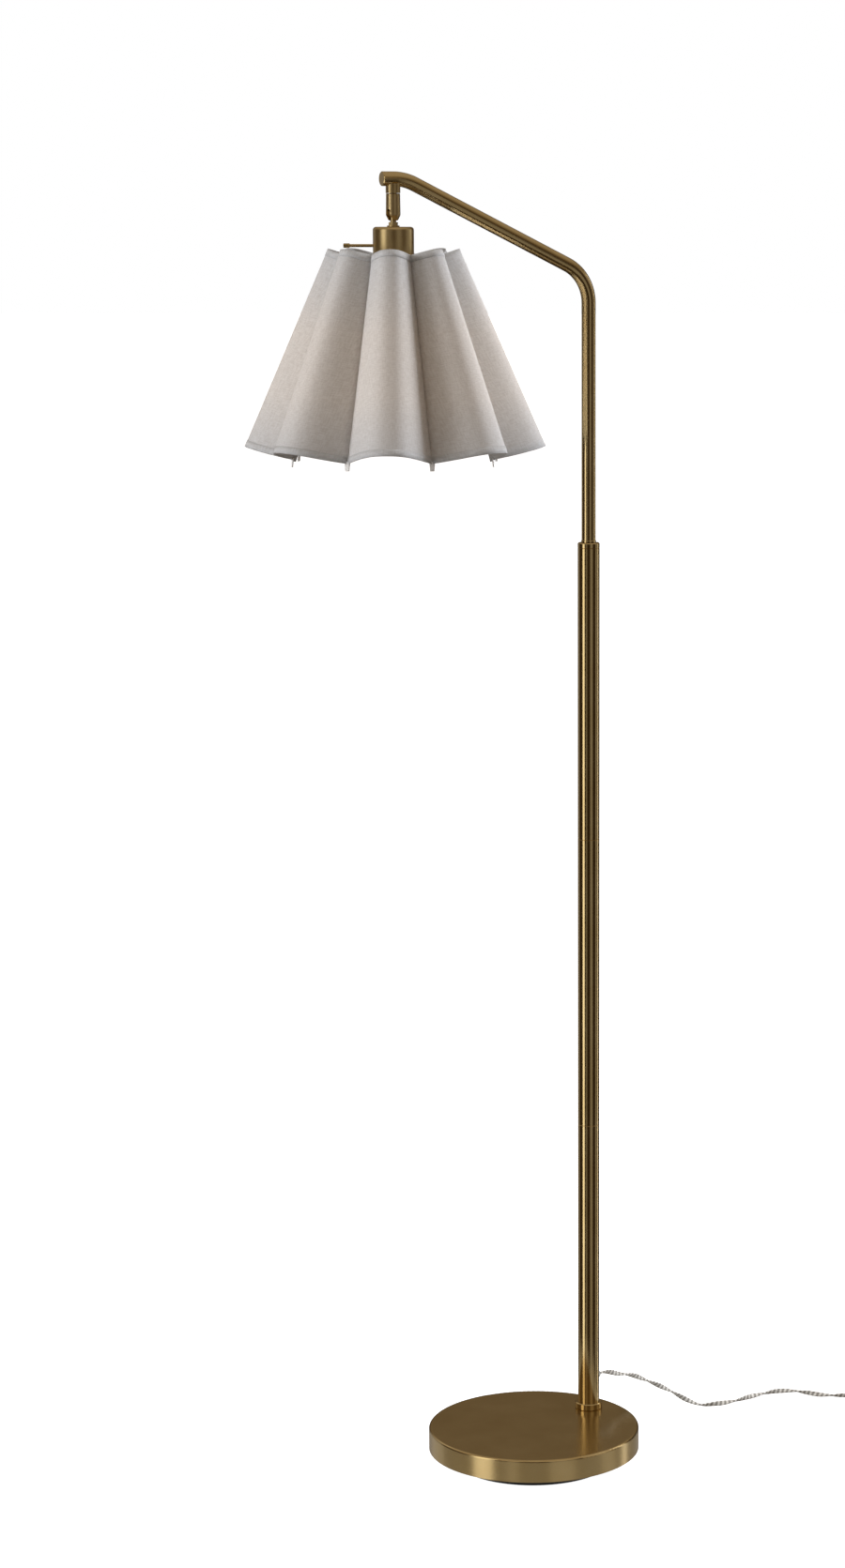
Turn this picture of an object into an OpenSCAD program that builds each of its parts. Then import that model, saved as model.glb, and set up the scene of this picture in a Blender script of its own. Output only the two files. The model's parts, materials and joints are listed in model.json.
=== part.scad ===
// Arc floor lamp: a weighted round base, a pole in three screwed lengths, a bent arm, and a head
// that swivels and tilts, with a turn switch and a scalloped fabric shade.
// Millimetres. +Z is up and the origin is the middle of the base's underside, on the floor.
// The arm points along -X.

/* [Base] */
// Diameter of the pressed steel base shell
base_d = 245; // [200:1:300]
// Height of the shell's side
shell_h = 26; // [24:1:34]
// Sheet thickness of the shell
shell_wall = 1.5; // [1:0.1:2.5]
// Radius of the shell's upper edge
shell_edge_r = 2.5; // [1.6:0.1:4]
// Thickness of the iron weight
weight_t = 19; // [14:1:20]
// How far the black bottom cover stands in from the shell's side
cover_inset = 18.5; // [14:0.5:30]
// How far the cover stands below the shell
cover_h = 8; // [4:1:14]
// How far the rubber pad stands in from the cover's side
pad_inset = 10; // [10:0.5:24]
// Thickness of the rubber pad
pad_t = 6; // [3:1:10]

/* [Pole] */
// Distance of the pole's axis from the base's side
pole_inset = 33.5; // [28:0.5:70]
// Direction of the pole from the middle of the base, from +X towards +Y
pole_turn = 18; // [0:1:45]
// Outer diameter of the pole tubes
pole_d = 25; // [22:1:32]
// Wall of the pole tubes
pole_wall = 1.5; // [1:0.1:2]
// Length of the lowest pole tube
lower_l = 346; // [250:1:450]
// Length of the middle pole tube
middle_l = 339; // [250:1:450]
// Length of the highest pole tube, without its cap
upper_l = 337; // [250:1:450]
// Height of the cap on the pole's top
pole_cap_h = 6; // [4:1:10]
// Width of the collar's rim round the pole's foot
collar_w = 3.3; // [1.6:0.1:8]
// Height of the collar at the pole's foot
collar_h = 8; // [5:1:14]

/* [Arm] */
// Outer diameter of the arm tube
arm_d = 16; // [14:0.5:18]
// Wall of the arm tube
arm_wall = 1.2; // [1:0.1:1.6]
// Height of the arm's lower corner above the pole's top
corner_h = 301; // [200:1:400]
// Distance from the pole's axis to the swivel's axis
arm_reach = 238; // [200:1:320]
// Slope of the arm above the level
arm_slope = 25.5; // [15:0.5:35]
// Distance from the arm's upper corner to the swivel's axis
flat_l = 13.5; // [13:0.5:24]
// Length of arm past the swivel's axis
arm_end_l = 12; // [10:0.5:20]
// Radius of the arm's lower bend, on its centre line
lower_bend_r = 48; // [36:1:80]
// Radius of the arm's upper bend, on its centre line
upper_bend_r = 58; // [40:1:60]

/* [Swivel] */
// Diameter of the swivel's collar and barrel
swivel_d = 16; // [16:0.5:20]
// Height of the collar under the arm
swivel_collar_h = 7.5; // [6:0.5:12]
// Length of the swivel's barrel
barrel_l = 29.3; // [28:0.1:36]
// Diameter of the ball in the barrel
ball_d = 11.5; // [11:0.1:12]
// Diameter of the stem below the ball
stem_d = 6.6; // [6:0.1:7]
// How far the barrel is turned from the arm's line, towards the front
swivel_turn = 22; // [0:1:45]

/* [Head] */
// Diameter of the brass cup over the lampholder
cup_d = 45; // [44:0.5:56]
// Height of the cup
cup_h = 64.5; // [62:0.5:80]
// Sheet thickness of the cup
cup_wall = 1; // [0.8:0.1:1.5]
// Radius of the cup's upper edge
cup_edge_r = 3.6; // [2:0.1:6]
// Diameter of the moulded lampholder
holder_d = 39; // [38:0.5:41]
// Distance of the switch rod below the cup's top
switch_drop = 20.4; // [19:0.1:22]
// Direction of the switch rod, from +X towards +Y
switch_turn_deg = 154; // [90:1:180]
// Diameter of the switch rod
rod_d = 3.4; // [3:0.1:4]
// Distance of the knob's outer end from the head's axis
knob_reach = 54.9; // [40:0.1:60]
// Length of the switch knob
knob_l = 7; // [6:0.5:12]
// Diameter of the switch knob
knob_d = 5; // [5:0.5:12]
// Diameter of the bulb
bulb_d = 60; // [45:1:65]
// Length of the bulb with its cap
bulb_l = 108; // [95:1:120]

/* [Shade] */
// Number of scallops round the shade
shade_lobes = 8; // [8:4:12]
// Distance of the shade's top edge below the cup's top
shade_drop = 23.7; // [22:0.1:26]
// Height of the shade, along its axis, at a scallop's crest
shade_h = 216; // [180:0.1:260]
// Radius of the crests at the top edge
crest_top_r = 71.7; // [69:0.1:80]
// Radius of the crests at the bottom edge
crest_bottom_r = 166; // [150:1:180]
// Radius of the valleys at the top edge
valley_top_r = 55; // [53:0.5:58]
// Radius of the valleys at the bottom edge
valley_bottom_r = 119.5; // [112:0.5:124]
// How far the valleys hang below the crests at the top edge
top_dip = 6.4; // [0:0.1:12]
// How far the valleys hang below the crests at the bottom edge
bottom_dip = 12; // [0:0.5:24]
// Thickness of the shade's lined fabric
fabric_t = 1.2; // [0.8:0.1:2]
// Depth of the sewn seam inside each valley
seam_depth = 4; // [3:0.5:6]
// First crest's direction, from +X towards +Y
shade_turn = 19; // [0:1:44]
// Wire of the shade's frame
wire_d = 3; // [2.4:0.1:4]

/* [Cord] */
// Height of the cord's bushing above the base
cord_exit_h = 38; // [36:1:60]
// Mean diameter of the flat twin cord
cord_d = 5; // [4:0.5:6]
// Bore radius of the coil the spare cord is wound into
coil_hole_r = 21.5; // [20:0.5:30]
// Outer radius of that coil
coil_r = 46; // [40:1:60]
// Height of that coil
coil_h = 10.5; // [8:0.5:16]

/* [Hidden] */
$fn = 64;

// Clearances between pieces that are assembled, and round pieces that turn
fit_gap = 0.1;
turn_gap = 0.05;

// Heights through the base
shell_z = pad_t + cover_h;
base_top = shell_z + shell_h;
weight_z = base_top - shell_wall - weight_t;
weight_gap = 3;
weight_d = base_d - 2 * shell_wall - 2 * weight_gap;
cover_d = base_d - 2 * cover_inset;
pad_d = cover_d - 2 * pad_inset;
cover_rim_w = 12;
cover_gap = 0.5;
bolt_d = 10;
bolt_drop = 0.4;
bolt_head_h = 6;

// The pole's place and the ends of its tubes
pole_offset = base_d / 2 - pole_inset;
pole_x = pole_offset * cos(pole_turn);
pole_y = pole_offset * sin(pole_turn);
joint_low_z = base_top + lower_l;
joint_high_z = joint_low_z + middle_l;
upper_end_z = joint_high_z + upper_l;
pole_top = upper_end_z + pole_cap_h;
pole_bore_d = pole_d - 2 * pole_wall;
spigot_d = pole_bore_d - 2 * fit_gap;
coupler_l = 50;
foot_l = 22;
lead_hole_d = 11;
end_chamfer = 0.4;

// The arm's centre line: up from the pole, up the slope, then level over the head
arm_bore_d = arm_d - 2 * arm_wall;
arm_socket_l = 26;
arm_foot_z = pole_top - arm_socket_l;
corner_z = pole_top + corner_h;
flat_z = corner_z + (arm_reach - flat_l) * tan(arm_slope);
lower_cut = lower_bend_r * tan((90 - arm_slope) / 2);
upper_cut = upper_bend_r * tan(arm_slope / 2);
slope_run = (arm_reach - flat_l) / cos(arm_slope) - lower_cut - upper_cut;
neck_ring_h = 2.6;
neck_ring_d = arm_d + 1;

// The head's axis and the heights of the swivel's pieces
head_x = pole_x - arm_reach;
arm_under_z = flat_z - arm_d / 2;
barrel_gap = 0.3;
barrel_top = arm_under_z - swivel_collar_h - barrel_gap;
barrel_z = barrel_top - barrel_l;
ball_h = 8.2;
ball_z = barrel_z + ball_h;
seat_r = ball_d / 2 + turn_gap;
slot_h = 4.2;
pad_z = ball_z + slot_h;
pad_top = ball_z + 8;
washer_h = 1;
nipple_head_z = pad_top + 3 * washer_h + 0.1;
nipple_head_h = 2;
shelf_z = nipple_head_z + nipple_head_h + 0.1;
nipple_d = 8;
nipple_bore_d = 4.6;
slot_w = stem_d + 0.8;
slot_top = ball_z + slot_h;
mouth_r = stem_d / 2 + 0.5;

// Heights of the lampholder's pieces
nut_top = ball_z - 10;
nut_h = 5;
cup_top = nut_top - nut_h;
cup_bottom = cup_top - cup_h;
rod_z = cup_top - switch_drop;
housing_z = rod_z - 6.3;
housing_h = 16;
holder_top = housing_z - 0.2;
fitter_t = 2;
fitter_z = cup_bottom - fitter_t;
ring_h = 6;
ring_z = fitter_z - ring_h;
holder_z = ring_z - 2;
cam_cavity_r = 6;
screw_shell_d = 27.4;
contact_z = holder_top - 9;
contact_top = contact_z + 2.5;
bulb_cap_d = 26;
bulb_cap_l = 25;
bulb_top = contact_z;
bulb_neck_z = bulb_top - bulb_cap_l;
bulb_tip_z = bulb_top - bulb_l;

// The shade's edges, each as height of its crests, radius of its crests and valleys, and dip
shade_top = cup_top - shade_drop;
top_edge = [shade_top, crest_top_r, valley_top_r, top_dip];
bottom_edge = [shade_top - shade_h, crest_bottom_r, valley_bottom_r, bottom_dip];
lobe_half = 180 / shade_lobes;
lobe_steps = 9;
lobe_share = 0.94;
lobe_power = 2.5;
frame_top_z = edge_z(top_edge, valley_top_r) - 4;
frame_bottom_z = edge_z(bottom_edge, crest_bottom_r) + 7;
frame_top_r = seam_r(frame_top_z) - wire_d / 2 - fit_gap;
frame_bottom_r = seam_r(frame_bottom_z) - wire_d / 2 - fit_gap;
spoke_count = shade_lobes / 2;
spoke_foot_r = cup_d / 2 + wire_d / 2 + 0.8;
spoke_foot_z = fitter_z + 0.75 * fitter_t;

// The cord leaves the pole away from the base's middle
bushing_z = base_top + cord_exit_h;
bushing_d = 10;
bushing_out = 3.5;
exit_r = pole_d / 2 + bushing_out;
exit_x = pole_x + exit_r * cos(pole_turn);
exit_y = pole_y + exit_r * sin(pole_turn);
cord_sides = 8;
floor_z = cord_d / 2;

// Free run of the cord: out of the bushing, down to the floor, then loosely over it to the coil
CORD_RUN = [
    [exit_x + 10, exit_y + 3, bushing_z - 0.5],
    [exit_x + 20, exit_y + 6.5, bushing_z - 3.5],
    [exit_x + 31, exit_y + 10.5, bushing_z - 8],
    [exit_x + 45, exit_y + 15.5, bushing_z - 12.5],
    [exit_x + 58, exit_y + 20, bushing_z - 17.5],
    [exit_x + 73, exit_y + 25, bushing_z - 25.5],
    [exit_x + 90, exit_y + 29.5, bushing_z - 35],
    [exit_x + 103, exit_y + 32.5, bushing_z - 42.5],
    [216, 68, 27.5],
    [227, 69.5, 20],
    [237, 70.5, 13.5],
    [246, 71, 8.5],
    [254, 71, 4.5],
    [263, 70.5, floor_z],
    [278, 67.5, floor_z],
    [294, 67, floor_z],
    [308, 68.5, floor_z],
    [321, 71.5, floor_z],
    [336, 74.5, floor_z],
    [351, 76.5, floor_z],
    [364, 76.5, floor_z],
    [376, 74, floor_z],
    [388, 66.5, floor_z],
    [397, 55.5, floor_z],
    [406, 44, floor_z],
    [418, 34.5, floor_z],
    [434, 26, floor_z],
    [450, 21, floor_z],
    [463, 17.5, floor_z],
    [475, 14, floor_z],
    [486, 9.5, floor_z]
];

// The coil lies past the run's end, and the plug's tail leaves it a quarter of a turn round
coil_x = 467;
coil_y = -29;
run_turn = -26;
tail_x = coil_x + (coil_r - cord_d / 2) * cos(run_turn);
tail_y = coil_y + (coil_r - cord_d / 2) * sin(run_turn);
tail_z = 7.5;
tail_dir = run_turn - 90;
tail_l = 26;
plug_l = 34;
plug_w = 25;
plug_h = 15;
blade_l = 17;

// Colours of the finishes
brass = [0.47, 0.39, 0.25];
steel = [0.62, 0.62, 0.60];
iron = [0.25, 0.25, 0.26];
black = [0.07, 0.07, 0.07];
phenolic = [0.13, 0.10, 0.08];
cloth = [0.80, 0.77, 0.75];
clear_pvc = [0.78, 0.80, 0.80];
porcelain = [0.92, 0.91, 0.88];

// Direction of point i of a route, and a round tube swept along the route
function route_dir(p, i) =
    let (d = p[min(i + 1, len(p) - 1)] - p[max(i - 1, 0)]) d / norm(d);
function route_ring(p, i, r, n, side) =
    let (t = route_dir(p, i), c = cross(t, side), a = c / norm(c), b = cross(t, a))
    [for (k = [0:n - 1]) p[i] + r * (cos(360 * k / n) * a + sin(360 * k / n) * b)];

module route_tube(p, r, n, side) {
    rings = [for (i = [0:len(p) - 1]) each route_ring(p, i, r, n, side)];
    last = (len(p) - 1) * n;
    walls = [for (i = [0:len(p) - 2]) for (k = [0:n - 1]) let (j = (k + 1) % n)
        each [[i * n + k, (i + 1) * n + k, (i + 1) * n + j], [i * n + k, (i + 1) * n + j, i * n + j]]];
    near_end = [for (k = [0:n - 1]) k];
    far_end = [for (k = [n - 1:-1:0]) last + k];
    polyhedron(points = rings, faces = concat([near_end], walls, [far_end]), convexity = 6);
}

// A ring of rectangular section, and one with both outer edges bevelled
module ring(outer_r, inner_r, h) {
    rotate_extrude() translate([inner_r, 0]) square([outer_r - inner_r, h]);
}

module bevelled_ring(outer_r, inner_r, h, bevel) {
    rotate_extrude() polygon([
        [inner_r, 0], [outer_r - bevel, 0], [outer_r, bevel],
        [outer_r, h - bevel], [outer_r - bevel, h], [inner_r, h]
    ]);
}

module hexagon_bar(across_flats, h) {
    cylinder(d = across_flats / cos(30), h = h, $fn = 6);
}

// Frames of reference: on the pole's axis, in the arm's upright plane, and on the head's axis
module at_pole(z) {
    translate([pole_x, pole_y, z]) children();
}

module in_arm_plane() {
    at_pole(0) rotate([90, 0, 180]) children();
}

module at_head(z) {
    translate([head_x, pole_y, z]) children();
}

// ---- Base ----

module base_shell() {
    outer_r = base_d / 2;
    color(brass) difference() {
        translate([0, 0, shell_z]) difference() {
            union() {
                cylinder(r = outer_r, h = shell_h - shell_edge_r, $fn = 160);
                translate([0, 0, shell_h - shell_edge_r]) cylinder(r = outer_r - shell_edge_r, h = shell_edge_r);
                translate([0, 0, shell_h - shell_edge_r]) rotate_extrude($fn = 160)
                    translate([outer_r - shell_edge_r, 0]) intersection() {
                        circle(r = shell_edge_r);
                        square(shell_edge_r);
                    }
            }
            translate([0, 0, -1]) cylinder(r = outer_r - shell_wall, h = shell_h - shell_wall + 1, $fn = 160);
        }
        at_pole(base_top - 5) cylinder(d = bolt_d + 1, h = 10);
    }
}

module base_weight() {
    color(iron) difference() {
        translate([0, 0, weight_z]) bevelled_ring(weight_d / 2, 6, weight_t, 2);
        at_pole(weight_z - 1) cylinder(d = bolt_d + 1, h = weight_t + 2);
        at_pole(weight_z - 1) cylinder(d = 26, h = 9);
        cover_screw_places() translate([0, 0, weight_z - 1]) cylinder(d = 3.4, h = 9);
    }
}

module cover_screw_places() {
    for (i = [0:2]) rotate(60 + 120 * i) translate([(cover_d + pad_d) / 4, 0, 0]) children();
}

module base_cover() {
    color(black) difference() {
        union() {
            translate([0, 0, pad_t]) bevelled_ring(cover_d / 2, 0, cover_h, 1);
            translate([0, 0, shell_z - 0.01])
                ring(base_d / 2 - shell_wall - cover_gap, cover_d / 2 - cover_rim_w, weight_z - shell_z + 0.01);
        }
        cover_screw_places() {
            translate([0, 0, pad_t - 1]) cylinder(d = 4.4, h = weight_z - pad_t + 2);
            translate([0, 0, pad_t - 0.01]) cylinder(d = 7.6, h = 2.21);
        }
    }
}

module base_pad() {
    color(black) bevelled_ring(pad_d / 2, 0, pad_t, 1);
}

module cover_screws() {
    color(steel) cover_screw_places() {
        difference() {
            translate([0, 0, pad_t + 0.2]) cylinder(d = 7.4, h = 2);
            translate([-2.5, -0.5, pad_t + 0.1]) cube([5, 1, 0.9]);
        }
        translate([0, 0, pad_t + 2.1]) cylinder(d = 3.2, h = weight_z + 7 - pad_t - 2.1);
    }
}

module pole_bolt() {
    color(steel) {
        at_pole(weight_z + bolt_drop) hexagon_bar(16, bolt_head_h);
        at_pole(weight_z + bolt_drop + bolt_head_h - 0.01)
            cylinder(d = bolt_d, h = base_top + foot_l - weight_z - bolt_head_h - 4);
    }
}

module bolt_washer() {
    color(steel) at_pole(weight_z + bolt_drop + bolt_head_h) ring(11, bolt_d / 2 + 0.2, 1.5);
}

// ---- Pole ----

module pole_collar() {
    color(brass) at_pole(base_top) bevelled_ring(pole_d / 2 + collar_w, pole_d / 2 + fit_gap, collar_h, 0.8);
}

module pole_foot() {
    color(steel) at_pole(base_top) ring(spigot_d / 2, bolt_d / 2 + turn_gap, foot_l);
}

module pole_length(z, l) {
    at_pole(z) bevelled_ring(pole_d / 2, pole_bore_d / 2, l, end_chamfer);
}

module pole_lower() {
    color(brass) difference() {
        pole_length(base_top, lower_l);
        at_pole(bushing_z) rotate([0, 90, pole_turn]) cylinder(d = bushing_d - 2, h = pole_d);
    }
}

module pole_middle() {
    color(brass) pole_length(joint_low_z, middle_l);
}

module pole_upper() {
    color(brass) pole_length(joint_high_z, upper_l);
}

module coupler(z) {
    color(steel) at_pole(z - coupler_l / 2) bevelled_ring(spigot_d / 2, lead_hole_d / 2, coupler_l, 1);
}

module coupler_low() {
    coupler(joint_low_z);
}

module coupler_high() {
    coupler(joint_high_z);
}

module pole_cap() {
    bore_r = arm_d / 2 + fit_gap;
    color(brass) difference() {
        union() {
            at_pole(upper_end_z) rotate_extrude() polygon([
                [0, 0], [pole_d / 2 - end_chamfer, 0], [pole_d / 2, end_chamfer], [pole_d / 2, pole_cap_h - 1],
                [pole_d / 2 - 1, pole_cap_h], [0, pole_cap_h]
            ]);
            at_pole(upper_end_z - 30) cylinder(d = spigot_d, h = 30.01);
        }
        at_pole(arm_foot_z) cylinder(r = bore_r, h = 50);
        at_pole(upper_end_z - 31) cylinder(d = lead_hole_d, h = 20);
    }
}

module neck_ring() {
    color(brass) at_pole(pole_top) bevelled_ring(neck_ring_d / 2, arm_d / 2 + turn_gap, neck_ring_h, 0.4);
}

// ---- Arm ----

// A round bar of radius r along the arm's centre line, let out by spare at both ends.
// The bends are a hair fatter and the straights run a little into them, so that all join soundly.
module arm_bar(r, spare) {
    bend_r = r + 0.03;
    lap = 0.5;
    slope_x = lower_bend_r * (1 - sin(arm_slope));
    slope_y = corner_z - lower_cut + lower_bend_r * cos(arm_slope);
    flat_x = arm_reach - flat_l + upper_cut;
    in_arm_plane() {
        translate([0, arm_foot_z - spare, 0]) rotate([-90, 0, 0])
            cylinder(r = r, h = corner_z - lower_cut - arm_foot_z + spare + lap);
        translate([lower_bend_r, corner_z - lower_cut, 0]) rotate(90 + arm_slope)
            rotate_extrude(angle = 90 - arm_slope) translate([lower_bend_r, 0]) circle(r = bend_r);
        translate([slope_x, slope_y, 0]) rotate([0, 90, arm_slope]) translate([0, 0, -lap])
            cylinder(r = r, h = slope_run + 2 * lap);
        translate([flat_x, flat_z - upper_bend_r, 0]) rotate(90)
            rotate_extrude(angle = arm_slope) translate([upper_bend_r, 0]) circle(r = bend_r);
        translate([flat_x - lap, flat_z, 0]) rotate([0, 90, 0])
            cylinder(r = r, h = arm_reach + arm_end_l - flat_x + lap + spare);
    }
}

module arm_tube() {
    color(brass) difference() {
        arm_bar(arm_d / 2, 0);
        arm_bar(arm_bore_d / 2, 1);
        at_head(arm_under_z - 1) cylinder(d = nipple_d + 2 * fit_gap, h = 6);
    }
}

module arm_end_cap() {
    color(brass) in_arm_plane() translate([arm_reach + arm_end_l, flat_z, 0]) rotate([0, 90, 0]) {
        rotate_extrude() polygon([[0, 0], [arm_d / 2, 0], [arm_d / 2, 0.8], [arm_d / 2 - 0.7, 1.5], [0, 1.5]]);
        translate([0, 0, -5]) cylinder(d = arm_bore_d - 2 * fit_gap, h = 5.01);
    }
}

// ---- Leads and bushing ----

module cord_bushing() {
    color(clear_pvc) at_pole(bushing_z) rotate([0, 90, pole_turn]) difference() {
        union() {
            translate([0, 0, pole_d / 2 - 0.6]) cylinder(d1 = bushing_d, d2 = bushing_d - 2, h = bushing_out + 0.6);
            translate([0, 0, pole_d / 2 - pole_wall - 2]) cylinder(d = bushing_d - 2.4, h = 4);
        }
        translate([0, 0, pole_d / 2 - 8]) cylinder(d = cord_d + 2 * fit_gap, h = 20);
        intersection() {
            translate([0, 0, -pole_d]) cylinder(r = pole_d, h = 2 * pole_d);
            rotate([0, -90, 0]) cylinder(r = pole_d / 2 + turn_gap, h = 30, center = true, $fn = 96);
            translate([0, 0, pole_d / 2 - 1]) ring(bushing_d, bushing_d / 2 - 1.1, 2);
        }
    }
}

// The lead inside the pole and arm, from the bushing to the swivel's nipple
function lead_route() = concat(
    [for (x = [exit_r, pole_d / 2, 8]) [pole_x + x * cos(pole_turn), pole_y + x * sin(pole_turn), bushing_z]],
    [for (i = [1:4]) let (a = 22.5 * i, x = 8 - 8 * sin(a))
        [pole_x + x * cos(pole_turn), pole_y + x * sin(pole_turn), bushing_z + 8 - 8 * cos(a)]],
    [for (i = [1:6]) [pole_x, pole_y, bushing_z + 8 + (corner_z - lower_cut - bushing_z - 8) * i / 6]],
    [for (i = [1:6]) let (a = (90 - arm_slope) * i / 6)
        [pole_x - lower_bend_r * (1 - cos(a)), pole_y, corner_z - lower_cut + lower_bend_r * sin(a)]],
    [for (i = [0:3]) let (a = arm_slope * (1 - i / 3), x = arm_reach - flat_l + upper_cut)
        [pole_x - x + upper_bend_r * sin(a), pole_y, flat_z - upper_bend_r * (1 - cos(a))]]
);

module inner_lead() {
    color(clear_pvc) route_tube(lead_route(), cord_d / 2 - 0.1, cord_sides, [-sin(pole_turn), cos(pole_turn), 0]);
}

module head_lead() {
    color(clear_pvc) at_head(rod_z + 9.9) cylinder(d = 2.6, h = ball_z - rod_z - 9.9);
}

// ---- Swivel ----

module swivel_collar() {
    color(brass) difference() {
        at_head(arm_under_z - swivel_collar_h) cylinder(d = swivel_d, h = swivel_collar_h + 3);
        arm_bar(arm_d / 2, 0);
        at_head(arm_under_z - swivel_collar_h - 1) cylinder(d = nipple_d + 2 * fit_gap, h = 20);
    }
}

module swivel_nipple() {
    color(steel) at_head(nipple_head_z) difference() {
        union() {
            cylinder(r = seat_r - 0.2, h = nipple_head_h);
            cylinder(d = nipple_d, h = flat_z - 4 - nipple_head_z);
        }
        translate([0, 0, -1]) cylinder(d = nipple_bore_d, h = 40);
    }
}

// The barrel turns on the nipple, and holds the ball over a slot that the stem swings out through
module swivel_barrel() {
    color(brass) difference() {
        at_head(barrel_z) rotate_extrude() polygon([
            [0, 0], [4.6, 0], [5.4, 0.6], [swivel_d / 2 - 0.3, 5.2], [swivel_d / 2, 6.2],
            [swivel_d / 2 - 0.3, barrel_l - 0.5], [swivel_d / 2 - 0.8, barrel_l], [0, barrel_l]
        ]);
        at_head(shelf_z - 1) cylinder(r = nipple_d / 2 + turn_gap, h = 20);
        at_head(ball_z) cylinder(r = seat_r, h = shelf_z - ball_z);
        at_head(ball_z) sphere(r = seat_r);
        at_head(barrel_z - 1) cylinder(r = mouth_r, h = 8);
        at_head(0) rotate(180 + swivel_turn) {
            translate([0, -slot_w / 2, barrel_z - 1]) cube([swivel_d, slot_w, slot_top - slot_w / 2 - barrel_z + 1]);
            translate([0, 0, slot_top - slot_w / 2]) rotate([0, 90, 0]) cylinder(d = slot_w, h = swivel_d);
        }
    }
}

module friction_pad() {
    color(steel) at_head(pad_z) difference() {
        cylinder(r = seat_r - 0.1, h = pad_top - pad_z);
        translate([0, 0, ball_z - pad_z]) sphere(r = seat_r);
        translate([0, 0, -1]) cylinder(d = nipple_bore_d, h = 10);
    }
}

module spring_washers() {
    color(steel) for (i = [0:2])
        at_head(pad_top + i * washer_h) bevelled_ring(seat_r - 0.2, 3.2, washer_h - 0.1, 0.3);
}

module swivel_ball() {
    stem_z = cup_top - 8;
    color(brass) at_head(0) difference() {
        union() {
            translate([0, 0, ball_z]) sphere(d = ball_d);
            translate([0, 0, stem_z]) cylinder(d = stem_d, h = ball_z - stem_z);
        }
        translate([0, 0, stem_z - 1]) cylinder(d = 3, h = 60);
    }
}

// ---- Lampholder and switch ----

module lock_nut() {
    color(brass) at_head(cup_top) difference() {
        union() {
            cylinder(d = 13.7, h = 1.4);
            translate([0, 0, 1.39]) hexagon_bar(9.6, nut_h - 1.39);
        }
        translate([0, 0, -1]) cylinder(r = stem_d / 2 + turn_gap, h = 10);
    }
}

module stem_nut() {
    color(steel) at_head(cup_top - cup_wall - 4) difference() {
        hexagon_bar(11, 4);
        translate([0, 0, -1]) cylinder(r = stem_d / 2 + turn_gap, h = 10);
    }
}

module head_cup() {
    r = cup_d / 2;
    color(brass) difference() {
        at_head(cup_bottom) union() {
            cylinder(r = r, h = cup_h - cup_edge_r);
            translate([0, 0, cup_h - cup_edge_r]) cylinder(r = r - cup_edge_r, h = cup_edge_r);
            translate([0, 0, cup_h - cup_edge_r]) rotate_extrude() translate([r - cup_edge_r, 0])
                intersection() {
                    circle(r = cup_edge_r);
                    square(cup_edge_r);
                }
        }
        at_head(cup_bottom - 1) cylinder(r = r - cup_wall, h = cup_h - cup_wall - 2.5);
        at_head(cup_top - 10) cylinder(r = r - cup_edge_r, h = 10 - cup_wall);
        at_head(cup_top - 5) cylinder(r = stem_d / 2 + turn_gap, h = 10);
        at_head(rod_z) rotate([0, 90, switch_turn_deg]) cylinder(d = rod_d + 0.8, h = cup_d);
    }
}

module switch_housing() {
    color(phenolic) at_head(0) difference() {
        translate([0, 0, housing_z]) bevelled_ring(holder_d / 2, 0, housing_h, 1.5);
        translate([0, 0, rod_z]) rotate([0, 90, switch_turn_deg]) cylinder(r = rod_d / 2 + turn_gap, h = holder_d);
        translate([0, 0, rod_z]) rotate([0, 90, switch_turn_deg]) translate([0, 0, -cam_cavity_r])
            cylinder(r = cam_cavity_r - 1, h = 2 * cam_cavity_r);
    }
}

module switch_rod() {
    inner_end = cam_cavity_r - 3;
    color(brass) at_head(rod_z) rotate([0, 90, switch_turn_deg]) translate([0, 0, inner_end])
        cylinder(d = rod_d, h = knob_reach - knob_l - inner_end);
}

module switch_knob() {
    flutes = 12;
    color(brass) at_head(rod_z) rotate([0, 90, switch_turn_deg]) translate([0, 0, knob_reach - knob_l])
        difference() {
            bevelled_ring(knob_d / 2, 0, knob_l, 0.5);
            for (i = [0:flutes - 1]) rotate(360 * i / flutes) translate([knob_d / 2, 0, 1.2])
                rotate(45) translate([-0.2, -0.2, 0]) cube([0.4, 0.4, knob_l - 2.4]);
        }
}

module switch_cam() {
    cam_l = 6;
    color(steel) at_head(rod_z) rotate([0, 90, switch_turn_deg]) translate([0, 0, cam_cavity_r - 3 - cam_l])
        cylinder(r = 3.6, h = cam_l, $fn = 4);
}

module holder_body() {
    color(porcelain) at_head(0) difference() {
        translate([0, 0, holder_z]) bevelled_ring(holder_d / 2, 0, holder_top - holder_z, 1);
        translate([0, 0, holder_z - 1]) cylinder(d = screw_shell_d + 2 * fit_gap, h = contact_top - holder_z + 1);
        terminal_places() translate([0, 0, contact_z + 3.5]) cylinder(d = 3.2, h = 20);
    }
}

module holder_shell() {
    color(brass) at_head(holder_z + 3) ring(screw_shell_d / 2, screw_shell_d / 2 - 0.5, contact_z - holder_z - 3);
}

module holder_contact() {
    color(brass) at_head(contact_z) {
        translate([0, 0, 1]) cylinder(d = 12, h = contact_top - contact_z - 1);
        cylinder(d = 5, h = 1.01);
    }
}

module terminal_places() {
    for (a = [60, 240]) rotate(a) translate([10, 0, 0]) children();
}

module terminal_screws() {
    color(brass) at_head(0) terminal_places() translate([0, 0, contact_z + 4]) cylinder(d = 3, h = 5 - 0.2);
}

// The threaded ring that clamps the shade's fitter up against the cup
module shade_ring() {
    color(phenolic) at_head(ring_z) bevelled_ring(spoke_foot_r + 1, holder_d / 2 + fit_gap, ring_h, 0.8);
}

// ---- Shade ----

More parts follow.
